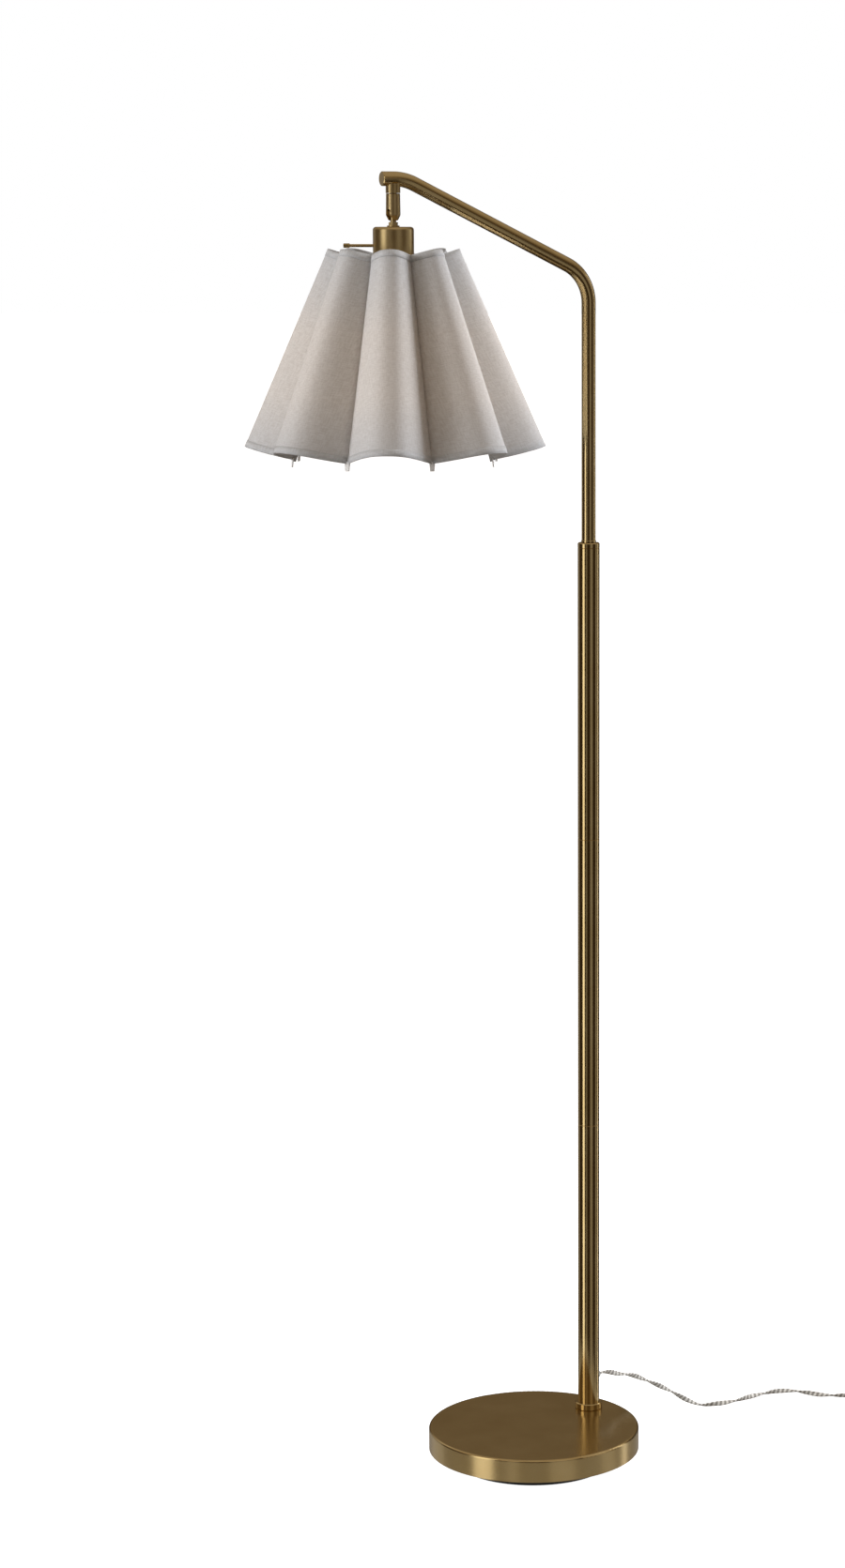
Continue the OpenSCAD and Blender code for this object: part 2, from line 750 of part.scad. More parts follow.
// Height of an edge at radius r, and radius of the sewn seams' inner edge at height z
function edge_z(edge, r) =
    let (crest = edge[1], valley = edge[2])
    edge[0] - edge[3] * (crest * crest - r * r) / (crest * crest - valley * valley);
function seam_r(z) =
    let (top_z = edge_z(top_edge, valley_top_r), bottom_z = edge_z(bottom_edge, valley_bottom_r))
    valley_top_r + (valley_bottom_r - valley_top_r) * (top_z - z) / (top_z - bottom_z) - seam_depth;

// A scalloped edge: each scallop is a full, rounded bow between two valleys, and inset moves it inwards
function lobed_edge(edge, inset, valley_in) =
    let (wide = edge[2] * sin(lobe_half), chord = edge[2] * cos(lobe_half), rise = edge[1] - chord)
    [for (n = [0:shade_lobes - 1]) let (turn = shade_turn + 2 * lobe_half * n) each concat(
        [edge_point(edge, edge[2] - valley_in, turn - lobe_half)],
        [for (i = [0:lobe_steps]) let (t = lobe_share * (2 * i / lobe_steps - 1), s = abs(t))
            let (fall = sign(t) * rise * lobe_power * pow(s, lobe_power - 1), lean = norm([wide, fall]))
            let (x = chord + rise * (1 - pow(s, lobe_power)) - inset * wide / lean, y = wide * t - inset * fall / lean)
            edge_point(edge, norm([x, y]), turn + atan2(y, x))]
    )];
function edge_point(edge, r, a) = [r * cos(a), r * sin(a), edge_z(edge, r)];

module shade_fabric() {
    edges = [
        each lobed_edge(bottom_edge, 0, 0),
        each lobed_edge(top_edge, 0, 0),
        each lobed_edge(top_edge, fabric_t, seam_depth),
        each lobed_edge(bottom_edge, fabric_t, seam_depth)
    ];
    n = shade_lobes * (lobe_steps + 2);
    faces = [for (e = [0:3]) for (k = [0:n - 1]) let (j = (k + 1) % n, here = e * n, next = ((e + 1) % 4) * n)
        each [[here + k, next + k, next + j], [here + k, next + j, here + j]]];
    color(cloth) at_head(0) polyhedron(points = edges, faces = faces, convexity = 10);
}

// Welded wire frame: a ring at each edge and a rib behind each seam
module shade_frame() {
    lean = atan2(frame_bottom_r - frame_top_r, frame_top_z - frame_bottom_z);
    rib_l = norm([frame_bottom_r - frame_top_r, frame_top_z - frame_bottom_z]);
    color(steel) at_head(0) {
        translate([0, 0, frame_top_z]) rotate_extrude() translate([frame_top_r, 0]) circle(d = wire_d);
        translate([0, 0, frame_bottom_z]) rotate_extrude() translate([frame_bottom_r, 0]) circle(d = wire_d);
        for (n = [0:shade_lobes - 1]) rotate(shade_turn + lobe_half * (2 * n + 1))
            translate([frame_top_r, 0, frame_top_z]) rotate([0, 180 - lean, 0]) cylinder(d = wire_d - 0.6, h = rib_l);
    }
}

// Washer on the lampholder with spokes up to the frame's top ring
module shade_fitter() {
    rise = frame_top_z - spoke_foot_z;
    run = frame_top_r - spoke_foot_r;
    color(steel) at_head(0) {
        translate([0, 0, fitter_z]) ring(spoke_foot_r + 2, holder_d / 2 + fit_gap, fitter_t);
        for (n = [0:spoke_count - 1]) rotate(shade_turn + lobe_half * (4 * n + 1))
            translate([spoke_foot_r, 0, spoke_foot_z])
                rotate([0, atan2(run, rise), 0]) cylinder(d = wire_d, h = norm([run, rise]));
    }
}

// ---- Bulb ----

module bulb_cap() {
    ribs = 5;
    color(steel) at_head(0) {
        translate([0, 0, bulb_neck_z]) cylinder(d = bulb_cap_d - 1.4, h = bulb_cap_l - 2);
        for (i = [0:ribs - 1]) translate([0, 0, bulb_neck_z + 3 + 3.6 * i])
            rotate_extrude() translate([bulb_cap_d / 2 - 1.2, 0]) circle(r = 1.2);
    }
}

module bulb_contact() {
    color(steel) at_head(bulb_top - 2) cylinder(d1 = 14, d2 = 9, h = 2);
}

// The glass: a round bowl whose sides draw in to a straight neck in the lampholder
module bulb_glass() {
    r = bulb_d / 2;
    neck_r = bulb_cap_d / 2 - 1;
    bowl_z = bulb_tip_z + r;
    color([0.95, 0.95, 0.92]) at_head(0) rotate_extrude() polygon(concat(
        [for (a = [-90:10:30]) [r * cos(a), bowl_z + r * sin(a)]],
        [for (i = [1:6]) let (t = i / 6, e = t * t * (3 - 2 * t))
            [r * cos(30) * (1 - e) + neck_r * e, (bowl_z + r * sin(30)) * (1 - t) + holder_z * t]],
        [[neck_r, bulb_neck_z], [0, bulb_neck_z]]
    ));
}

// ---- Free cord ----

function cord_route() = concat([[exit_x, exit_y, bushing_z]], CORD_RUN);

module cord() {
    color(clear_pvc) route_tube(cord_route(), cord_d / 2, cord_sides, [0, 0, 1]);
}

module cord_coil() {
    edge = 2;
    color(clear_pvc) translate([coil_x, coil_y, 0]) rotate_extrude() polygon([
        [coil_hole_r + edge, 0], [coil_r - edge, 0], [coil_r, edge], [coil_r, coil_h - edge],
        [coil_r - edge, coil_h], [coil_hole_r + edge, coil_h], [coil_hole_r, coil_h - edge], [coil_hole_r, edge]
    ]);
}

// A strap round the coil's turns
module coil_tie() {
    tie_w = 8;
    tie_t = 0.6;
    tie_gap = 0.5;
    color(black) translate([coil_x, coil_y, 0]) rotate(run_turn + 225) translate([0, -tie_w / 2, 0]) difference() {
        translate([coil_hole_r - tie_gap - tie_t, 0, 0])
            cube([coil_r - coil_hole_r + 2 * (tie_gap + tie_t), tie_w, coil_h + 2 * tie_t]);
        translate([coil_hole_r - tie_gap, -1, -1])
            cube([coil_r - coil_hole_r + 2 * tie_gap, tie_w + 2, coil_h + 1 + tie_t]);
    }
}

// The cord's last stretch, from the coil to the plug
module cord_tail() {
    color(clear_pvc) translate([tail_x, tail_y, tail_z]) rotate([0, 90, tail_dir]) cylinder(d = cord_d, h = tail_l);
}

module plug_body() {
    color(clear_pvc) plug_place() {
        translate([10, -plug_w / 2, -tail_z]) cube([plug_l - 10, plug_w, plug_h]);
        rotate([0, 90, 0]) cylinder(d1 = cord_d + 2, d2 = 13, h = 10.01);
    }
}

module plug_blades() {
    gap = 12.7;
    color(steel) plug_place() for (s = [-1, 1])
        translate([plug_l, s * gap / 2 - 0.75, -3]) cube([blade_l, 1.5, 6.4]);
}

// Frame of the plug: x runs on along the cord's tail, and the cord enters at the origin
module plug_place() {
    translate([tail_x, tail_y, tail_z]) rotate(tail_dir) translate([tail_l, 0, 0]) children();
}

base_shell();
base_weight();
base_cover();
base_pad();
cover_screws();
pole_bolt();
bolt_washer();
pole_collar();
pole_foot();
pole_lower();
pole_middle();
pole_upper();
coupler_low();
coupler_high();
pole_cap();
neck_ring();
arm_tube();
arm_end_cap();
cord_bushing();
inner_lead();
swivel_collar();
swivel_nipple();
swivel_barrel();
friction_pad();
spring_washers();
swivel_ball();
lock_nut();
stem_nut();
head_cup();
head_lead();
switch_housing();
switch_rod();
switch_knob();
switch_cam();
holder_body();
holder_shell();
holder_contact();
terminal_screws();
shade_ring();
shade_fitter();
shade_frame();
shade_fabric();
bulb_cap();
bulb_glass();
bulb_contact();
cord();
cord_coil();
coil_tie();
cord_tail();
plug_body();
plug_blades();
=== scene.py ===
"""Arc floor lamp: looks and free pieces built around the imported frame. Metres, +Z up."""

import json
import math

import bmesh
import bpy
from mathutils import Matrix, Vector


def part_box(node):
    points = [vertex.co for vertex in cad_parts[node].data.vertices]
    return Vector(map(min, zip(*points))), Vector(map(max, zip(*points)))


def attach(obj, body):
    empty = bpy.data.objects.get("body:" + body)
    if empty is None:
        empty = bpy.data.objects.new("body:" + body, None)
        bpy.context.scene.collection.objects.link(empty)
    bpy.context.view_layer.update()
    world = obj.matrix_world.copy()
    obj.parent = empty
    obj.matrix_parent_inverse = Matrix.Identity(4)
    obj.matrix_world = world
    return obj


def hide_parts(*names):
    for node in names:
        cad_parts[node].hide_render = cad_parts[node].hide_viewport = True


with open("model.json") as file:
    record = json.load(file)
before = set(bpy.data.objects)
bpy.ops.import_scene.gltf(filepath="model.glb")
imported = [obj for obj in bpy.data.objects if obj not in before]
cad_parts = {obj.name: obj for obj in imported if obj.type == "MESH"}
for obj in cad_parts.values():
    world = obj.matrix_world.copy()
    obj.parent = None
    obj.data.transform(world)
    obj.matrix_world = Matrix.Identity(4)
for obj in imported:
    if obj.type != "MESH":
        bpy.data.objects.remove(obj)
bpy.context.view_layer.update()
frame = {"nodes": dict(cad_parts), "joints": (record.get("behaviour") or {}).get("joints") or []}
scene = bpy.context.scene
MM = 0.001

# ---- Places taken from the frame ----

JOINTS = {joint["name"]: joint for joint in frame["joints"]}
HEAD_AXIS = Vector(JOINTS["head_tilt"]["pos_m"])
POLE_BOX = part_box("pole_lower")
POLE_AXIS = (POLE_BOX[0] + POLE_BOX[1]) / 2
BASE_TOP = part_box("base_shell")[1].z
SHADE_H = 216 * MM
CREST_TOP = 71.7 * MM
CREST_BOTTOM = 166 * MM
SLANT = math.hypot(SHADE_H, CREST_BOTTOM - CREST_TOP)


# ---- Camera ----

VIEW_TURN = math.radians(-26)
VIEW_DOWN = math.radians(9.167)
EYE_AWAY = 4.047
EYE_HEIGHT = 1.442
LENS = 81.62
FRAME_SHIFT = -0.1059


def make_camera():
    """The camera stands level with the shade, looks a little down and past the lamp's left."""
    camera = bpy.data.objects.new("camera", bpy.data.cameras.new("camera"))
    scene.collection.objects.link(camera)
    away = Vector((math.sin(VIEW_TURN), -math.cos(VIEW_TURN), 0)) * EYE_AWAY
    camera.location = Vector((POLE_AXIS.x, POLE_AXIS.y, EYE_HEIGHT)) + away
    camera.rotation_euler = (math.pi / 2 - VIEW_DOWN, 0, VIEW_TURN)
    camera.data.sensor_width = 36
    camera.data.lens = LENS
    camera.data.shift_x = FRAME_SHIFT
    camera.data.clip_end = 50
    scene.camera = camera


make_camera()


# ---- Small helpers for meshes and materials ----


def linear(colour):
    """An sRGB hex colour, such as "C4A876", as linear RGBA."""
    parts = [int(colour[i : i + 2], 16) / 255 for i in (0, 2, 4)]
    return tuple(c / 12.92 if c <= 0.04045 else ((c + 0.055) / 1.055) ** 2.4 for c in parts) + (1,)


def add(material, kind, inputs=None, **settings):
    """Adds a node with its settings. An input is a value, or the socket that it links from."""
    made = material.node_tree.nodes.new(kind)
    for name, value in settings.items():
        setattr(made, name, value)
    for name, value in (inputs or {}).items():
        if isinstance(value, bpy.types.NodeSocket):
            material.node_tree.links.new(value, made.inputs[name])
        else:
            made.inputs[name].default_value = value
    return made


def new_material(name):
    """A material with an empty tree, and its output node."""
    material = bpy.data.materials.new(name)
    material.use_nodes = True
    material.node_tree.nodes.clear()
    return material, material.node_tree.nodes.new("ShaderNodeOutputMaterial")


def finish_material(material, output, shader):
    """Links the shader to the output."""
    material.node_tree.links.new(shader, output.inputs["Surface"])
    return material


def ramp(material, fac, stops):
    """A colour ramp from (place, linear RGBA) stops."""
    made = add(material, "ShaderNodeValToRGB", {"Fac": fac})
    elements = made.color_ramp.elements
    while len(elements) < len(stops):
        elements.new(0.5)
    for element, (place, colour) in zip(elements, stops):
        element.position = place
        element.color = colour
    return made.outputs["Color"]


def spread(material, fac, low, high):
    """The 0 to 1 factor spread from low to high."""
    limits = {"Value": fac, "To Min": low, "To Max": high}
    return add(material, "ShaderNodeMapRange", limits).outputs["Result"]


def noise_over(material, place, grain, detail, **settings):
    """Noise with its patches about grain apart."""
    inputs = {"Vector": place, "Scale": 1 / grain, "Detail": detail}
    return add(material, "ShaderNodeTexNoise", inputs, **settings).outputs["Fac"]


def bumps(material, height, strength, distance):
    """The surface normal over a height pattern."""
    inputs = {"Height": height, "Strength": strength, "Distance": distance}
    return add(material, "ShaderNodeBump", inputs).outputs["Normal"]


def to_object(name, mesh, material, body):
    """A smooth piece made from a bmesh, riding on its body."""
    data = bpy.data.meshes.new(name)
    mesh.to_mesh(data)
    mesh.free()
    data.materials.append(material)
    for face in data.polygons:
        face.use_smooth = True
    piece = bpy.data.objects.new(name, data)
    scene.collection.objects.link(piece)
    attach(piece, body)
    return piece


def lathe(outline, axis, steps=96):
    """A closed bmesh turned from an outline of (radius, z) about the upright line through axis."""
    mesh = bmesh.new()
    points = [mesh.verts.new((r, 0, z)) for r, z in outline]
    edges = [mesh.edges.new(pair) for pair in zip(points, points[1:])]
    bmesh.ops.spin(
        mesh,
        geom=points + edges,
        cent=(0, 0, 0),
        axis=(0, 0, 1),
        angle=2 * math.pi,
        steps=steps,
        use_merge=True,
    )
    bmesh.ops.remove_doubles(mesh, verts=mesh.verts, dist=0.01 * MM)
    bmesh.ops.recalc_face_normals(mesh, faces=mesh.faces)
    bmesh.ops.translate(mesh, verts=mesh.verts, vec=(axis.x, axis.y, 0))
    return mesh


# ---- Materials ----


def object_point(material, centre=(0, 0, 0)):
    """The surface point in metres, measured from centre."""
    coordinates = add(material, "ShaderNodeTexCoord")
    moved = {"Vector": coordinates.outputs["Object"], "Location": tuple(-c for c in centre)}
    return add(material, "ShaderNodeMapping", moved).outputs["Vector"]


def turned_grain(material, centre):
    """A point (distance from the upright axis, height), in which a turned piece's grooves are straight."""
    point = add(material, "ShaderNodeSeparateXYZ", {"Vector": object_point(material, centre)})
    flat = add(material, "ShaderNodeCombineXYZ", {"X": point.outputs["X"], "Y": point.outputs["Y"]})
    radius = add(material, "ShaderNodeVectorMath", {0: flat.outputs["Vector"]}, operation="LENGTH")
    grain = {"X": radius.outputs["Value"], "Y": point.outputs["Z"]}
    return add(material, "ShaderNodeCombineXYZ", grain).outputs["Vector"]


BRASS_LIGHT = "C6AF7F"
BRASS_DARK = "BDA471"


def antique_brass(name, rough, grain_centre=None):
    """Antique brass plate, brushed and lacquered: a soft satin gleam in fine turned lines, warm
    brown where the plate is thicker, with a thin gloss of lacquer on top."""
    material, output = new_material(name)
    point = object_point(material)
    clouds = noise_over(material, point, 45 * MM, 3)
    colour = ramp(material, clouds, [(0.3, linear(BRASS_DARK)), (0.7, linear(BRASS_LIGHT))])
    # The real grooves are about 0.1 mm apart; they are drawn 1 mm apart so that they show
    groove = 1.0 * MM
    if grain_centre is None:
        # A drawn tube has hardly any grain: broad faint drifts along its length
        drift = add(material, "ShaderNodeMapping", {"Vector": point, "Scale": (0.1, 1, 1)})
        lines = noise_over(material, drift.outputs["Vector"], 8 * groove, 2)
    else:
        lines = noise_over(material, turned_grain(material, grain_centre), groove, 4, noise_dimensions="2D")
    shader = add(
        material,
        "ShaderNodeBsdfPrincipled",
        {
            "Base Color": colour,
            "Metallic": 1,
            "Roughness": spread(material, clouds, rough - 0.02, rough + 0.03),
            "Coat Weight": 0.06,
            "Coat Roughness": 0.08,
            "Normal": bumps(material, lines, 0.1, 0.01 * MM),
        },
    )
    return finish_material(material, output, shader.outputs["BSDF"])


def plain_metal(name, light, dark, rough, grain=2.0 * MM, strength=0.15):
    """A metal with a fine uneven surface."""
    material, output = new_material(name)
    noise = noise_over(material, object_point(material), grain, 4)
    colour = ramp(material, noise, [(0.35, linear(dark)), (0.65, linear(light))])
    shader = add(
        material,
        "ShaderNodeBsdfPrincipled",
        {
            "Base Color": colour,
            "Metallic": 1,
            "Roughness": spread(material, noise, rough - 0.06, rough + 0.08),
            "Normal": bumps(material, noise, strength, 0.1 * MM),
        },
    )
    return finish_material(material, output, shader.outputs["BSDF"])


def moulded(name, light, dark, rough, grain=0.8 * MM, ior=1.5, coat=0.0):
    """A moulded plastic, rubber or ceramic: one colour with a fine eggshell grain."""
    material, output = new_material(name)
    noise = noise_over(material, object_point(material), grain, 3)
    colour = ramp(material, noise, [(0.3, linear(dark)), (0.7, linear(light))])
    shader = add(
        material,
        "ShaderNodeBsdfPrincipled",
        {
            "Base Color": colour,
            "Roughness": spread(material, noise, rough - 0.05, rough + 0.07),
            "IOR": ior,
            "Coat Weight": coat,
            "Normal": bumps(material, noise, 0.2, 0.05 * MM),
        },
    )
    return finish_material(material, output, shader.outputs["BSDF"])


def lined_linen():
    """Cotton and linen cloth laminated on white styrene: a matt plain weave with slubs, which lets
    a little warm light through and has a soft sheen at grazing angles."""
    material, output = new_material("lined_linen")
    cloth = add(material, "ShaderNodeUVMap", uv_map="cut").outputs["UV"]
    # The real threads are 0.5 mm apart; they are drawn 1.1 mm apart so that they show
    thread = 1.1 * MM
    slub = 0.16
    fine = 1 / thread
    coarse = slub / thread
    weft_place = add(material, "ShaderNodeMapping", {"Vector": cloth, "Scale": (coarse, fine, 1)})
    warp_place = add(material, "ShaderNodeMapping", {"Vector": cloth, "Scale": (fine, coarse, 1)})
    weft = noise_over(material, weft_place.outputs["Vector"], 1, 2, noise_dimensions="2D")
    warp = noise_over(material, warp_place.outputs["Vector"], 1, 2, noise_dimensions="2D")
    weave = add(material, "ShaderNodeMath", {0: weft, 1: warp}, operation="ADD")
    mean = add(material, "ShaderNodeMath", {0: weave.outputs["Value"], 1: 0.5}, operation="MULTIPLY")
    level = mean.outputs["Value"]
    threads = ramp(material, level, [(0.36, linear("EAE8E6")), (0.64, linear("FFFFFF"))])
    # Painted light and shade: the cloth is a little cooler towards both edges and darker at the lower one;
    # the darker lower edge is painted shade and the warmer middle is a painted glow of light let through
    place = add(material, "ShaderNodeSeparateXYZ", {"Vector": cloth})
    down = spread(material, place.outputs["Y"], 0, 1 / SLANT)
    tones = [(0.0, "D8DBDE"), (0.4, "EAE6E1"), (0.72, "E8E5E1"), (1.0, "D3D6D9")]
    painted_glow_and_shade = ramp(material, down, [(share, linear(tint)) for share, tint in tones])
    colour = add(
        material,
        "ShaderNodeMix",
        {"Factor": 1.0, "A": threads, "B": painted_glow_and_shade},
        data_type="RGBA",
        blend_type="MULTIPLY",
    ).outputs["Result"]
    front = add(
        material,
        "ShaderNodeBsdfPrincipled",
        {
            "Base Color": colour,
            "Roughness": 0.9,
            "Specular IOR Level": 0.25,
            "Sheen Weight": 0.25,
            "Sheen Roughness": 0.5,
            "Normal": bumps(material, level, 0.35, 0.2 * MM),
        },
    )
    through = add(material, "ShaderNodeBsdfTranslucent", {"Color": linear("E8D8CA")})
    lets_through = 0.22
    sides = {0: lets_through, 1: front.outputs["BSDF"], 2: through.outputs["BSDF"]}
    mixed = add(material, "ShaderNodeMixShader", sides)
    return finish_material(material, output, mixed.outputs["Shader"])


def twin_lead():
    """Clear PVC twin lead over tinned strands: silvery, with the strands' lay showing as fine slanting
    lines, and a wet-looking gloss from the clear jacket."""
    material, output = new_material("clear_twin_lead")
    point = add(material, "ShaderNodeUVMap", uv_map="cut")
    # The strands are finer than 0.5 mm. Bands repeat every 0.314 of the scale below, so the slanting
    # lines are drawn 5 mm apart so that they show
    slant = {"Vector": point.outputs["UV"], "Rotation": (0, 0, math.radians(35))}
    turned = add(material, "ShaderNodeMapping", slant)
    strands = add(
        material,
        "ShaderNodeTexWave",
        {"Vector": turned.outputs["Vector"], "Scale": 1 / (16 * MM), "Distortion": 1.5, "Detail": 2},
        wave_type="BANDS",
        bands_direction="X",
    )
    colour = ramp(material, strands.outputs["Fac"], [(0.1, linear("8F8D88")), (0.9, linear("E3E2DE"))])
    shader = add(
        material,
        "ShaderNodeBsdfPrincipled",
        {
            "Base Color": colour,
            "Metallic": 0.1,
            "Roughness": 0.3,
            "Coat Weight": 0.9,
            "Coat Roughness": 0.06,
            "Normal": bumps(material, strands.outputs["Fac"], 0.25, 0.2 * MM),
        },
    )
    return finish_material(material, output, shader.outputs["BSDF"])


def clear_pvc():
    """Clear moulded PVC: glassy, slightly grey, with a soft moulded skin."""
    material, output = new_material("clear_pvc")
    noise = noise_over(material, object_point(material), 1.5 * MM, 2)
    colour = ramp(material, noise, [(0.3, linear("B2B5B4")), (0.7, linear("CDD0CF"))])
    shader = add(
        material,
        "ShaderNodeBsdfPrincipled",
        {
            "Base Color": colour,
            "Roughness": 0.14,
            "IOR": 1.53,
            "Transmission Weight": 0.4,
            "Normal": bumps(material, noise, 0.12, 0.05 * MM),
        },
    )
    return finish_material(material, output, shader.outputs["BSDF"])


def frosted_glass():
    """A bulb's glass, frosted inside: milky white, with the smooth gloss of blown glass outside."""
    material, output = new_material("frosted_glass")
    noise = noise_over(material, object_point(material), 12 * MM, 2)
    colour = ramp(material, noise, [(0.3, linear("ECEAE4")), (0.7, linear("F6F5F1"))])
    shader = add(
        material,
        "ShaderNodeBsdfPrincipled",
        {
            "Base Color": colour,
            "Roughness": 0.35,
            "IOR": 1.5,
            "Transmission Weight": 0.25,
            "Coat Weight": 0.8,
            "Coat Roughness": 0.03,
        },
    )
    return finish_material(material, output, shader.outputs["BSDF"])


BASE_BRASS = antique_brass("antique_brass_base", 0.2, (0, 0, 0))
POLE_BRASS = antique_brass("antique_brass_pole", 0.14, (POLE_AXIS.x, POLE_AXIS.y, 0))
HEAD_BRASS = antique_brass("antique_brass_head", 0.34, (HEAD_AXIS.x, HEAD_AXIS.y, 0))
ARM_BRASS = antique_brass("antique_brass_arm", 0.16)
BARE_BRASS = plain_metal("stamped_brass", "D9BC78", "B8954F", 0.28)
ZINC = plain_metal("zinc_plate", "C9CCCB", "9EA2A3", 0.34)
CAST_IRON = plain_metal("cast_iron", "5A5957", "3B3A39", 0.62, grain=3 * MM, strength=0.6)
BLACK_PLASTIC = moulded("black_abs", "1B1B1C", "111112", 0.5)
RUBBER = moulded("black_rubber", "161616", "0E0E0E", 0.72, grain=1.2 * MM)
PHENOLIC = moulded("black_phenolic", "231E1A", "15120F", 0.22, coat=0.3)
HOLDER_RESIN = moulded("white_urea_resin", "EFEDE6", "E3E0D8", 0.3)
POWDER_COAT = moulded("white_powder_coat", "E9E7E2", "DAD8D2", 0.42, grain=0.6 * MM)
TAPE = moulded("white_cotton_tape", "FFFFFF", "F1EFEC", 0.85, grain=0.9 * MM)
CLEAR_PVC = clear_pvc()
TWIN_LEAD = twin_lead()
LINEN = lined_linen()
BULB_GLASS = frosted_glass()

FINISHES = {
    BASE_BRASS: ["base_shell"],
    POLE_BRASS: ["pole_collar", "pole_lower", "pole_middle", "pole_upper", "pole_cap", "neck_ring"],
    ARM_BRASS: ["arm_tube", "arm_end_cap", "switch_rod", "switch_knob"],
    HEAD_BRASS: ["swivel_collar", "swivel_barrel", "swivel_ball", "lock_nut", "head_cup"],
    BARE_BRASS: ["holder_shell", "holder_contact", "terminal_screws", "plug_blades"],
    ZINC: [
        "cover_screws", "pole_bolt", "bolt_washer", "pole_foot", "coupler_low", "coupler_high",
        "swivel_nipple", "friction_pad", "spring_washers", "stem_nut", "switch_cam", "bulb_cap",
        "bulb_contact",
    ],
    CAST_IRON: ["base_weight"],
    BLACK_PLASTIC: ["base_cover", "coil_tie"],
    RUBBER: ["base_pad"],
    PHENOLIC: ["switch_housing", "shade_ring"],
    HOLDER_RESIN: ["holder_body"],
    POWDER_COAT: ["shade_fitter", "shade_frame"],
    CLEAR_PVC: ["cord_bushing", "inner_lead", "head_lead", "cord_tail", "plug_body"],
    LINEN: ["shade_fabric"],
    BULB_GLASS: ["bulb_glass"],
    TWIN_LEAD: ["cord", "cord_coil"],
}


def dress_frame():
    """Gives each node of the frame the finish of its real material."""
    for material, names in FINISHES.items():
        for name in names:
            slots = frame["nodes"][name].data.materials
            slots.clear()
            slots.append(material)


dress_frame()


# ---- Free cord ----

CORD_WIDTH = 6.1 * MM
CORD_THICK = 3.1 * MM
CORD_D = 5 * MM
TWIST_EVERY = 90 * MM
EXIT_TURN = math.radians(18)
BUSHING_OUT = 16 * MM
EXIT_HEIGHT = 38 * MM
EXIT = Vector(
    (
        POLE_AXIS.x + BUSHING_OUT * math.cos(EXIT_TURN),
        POLE_AXIS.y + BUSHING_OUT * math.sin(EXIT_TURN),
        BASE_TOP + EXIT_HEIGHT,
    )
)
FLOOR_Z = CORD_D / 2

# Free run of the cord: out of the bushing, down to the floor, then loosely over it to the coil
CORD_RUN = [
    (EXIT.x + 0.010, EXIT.y + 0.003, EXIT.z - 0.0005),
    (EXIT.x + 0.020, EXIT.y + 0.0065, EXIT.z - 0.0035),
    (EXIT.x + 0.031, EXIT.y + 0.0105, EXIT.z - 0.008),
    (EXIT.x + 0.045, EXIT.y + 0.0155, EXIT.z - 0.0125),
    (EXIT.x + 0.058, EXIT.y + 0.020, EXIT.z - 0.0175),
    (EXIT.x + 0.073, EXIT.y + 0.025, EXIT.z - 0.0255),
    (EXIT.x + 0.090, EXIT.y + 0.0295, EXIT.z - 0.035),
    (EXIT.x + 0.103, EXIT.y + 0.0325, EXIT.z - 0.0425),
    (0.216, 0.068, 0.0275),
    (0.227, 0.0695, 0.020),
    (0.237, 0.0705, 0.0135),
    (0.246, 0.071, 0.0085),
    (0.254, 0.071, 0.0045),
    (0.263, 0.0705, FLOOR_Z),
    (0.278, 0.0675, FLOOR_Z),
    (0.294, 0.067, FLOOR_Z),
    (0.308, 0.0685, FLOOR_Z),
    (0.321, 0.0715, FLOOR_Z),
    (0.336, 0.0745, FLOOR_Z),
    (0.351, 0.0765, FLOOR_Z),
    (0.364, 0.0765, FLOOR_Z),
    (0.376, 0.074, FLOOR_Z),
    (0.388, 0.0665, FLOOR_Z),
    (0.397, 0.0555, FLOOR_Z),
    (0.406, 0.044, FLOOR_Z),
    (0.418, 0.0345, FLOOR_Z),
    (0.434, 0.026, FLOOR_Z),
    (0.450, 0.021, FLOOR_Z),
    (0.463, 0.0175, FLOOR_Z),
    (0.475, 0.014, FLOOR_Z),
    (0.486, 0.0095, FLOOR_Z),
]

COIL_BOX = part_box("cord_coil")
COIL_CENTRE = (COIL_BOX[0] + COIL_BOX[1]) / 2
COIL_OUTER = (COIL_BOX[1].x - COIL_BOX[0].x) / 2 - 3 * MM
COIL_INNER = 24.5 * MM
COIL_TURNS = 6.25
RUN_TURN = math.radians(-26)
TAIL_LENGTH = 26 * MM
TAIL_Z = 7.5 * MM
TAIL_TURN = RUN_TURN - math.pi / 2


def coil_points():
    """Turns that wind inwards on the floor, then outwards on top, and end where the tail leaves."""
    start = RUN_TURN + math.pi / 2
    steps = 24
    half = COIL_TURNS / 2
    climb = 0.8
    points = []
    for i in range(1, int(COIL_TURNS * steps) + 1):
        turn = i / steps
        radius = COIL_INNER + (COIL_OUTER - COIL_INNER) * abs(turn - half) / half
        rise = min(1, max(0, (turn - half + climb / 2) / climb))
        z = FLOOR_Z + (TAIL_Z - FLOOR_Z) * rise * rise * (3 - 2 * rise)
        angle = start - turn * 2 * math.pi
        out = Vector((math.cos(angle), math.sin(angle), 0)) * radius
        points.append(Vector((COIL_CENTRE.x, COIL_CENTRE.y, z)) + out)
    return points


def smooth_route(points, spacing):
    """Catmull-Rom curve through the points, with places about spacing apart."""
    route = [Vector(p) for p in points]
    ends = [2 * route[0] - route[1], *route, 2 * route[-1] - route[-2]]
    fine = []
    for a, b, c, d in zip(ends, ends[1:], ends[2:], ends[3:]):
        count = max(1, round((c - b).length / spacing))
        for i in range(count):
            t = i / count
            square = (2 * a - 5 * b + 4 * c - d) * t**2
            cube = (3 * b - a - 3 * c + d) * t**3
            fine.append(0.5 * (2 * b + (c - a) * t + square + cube))
    fine.append(route[-1])
    return fine


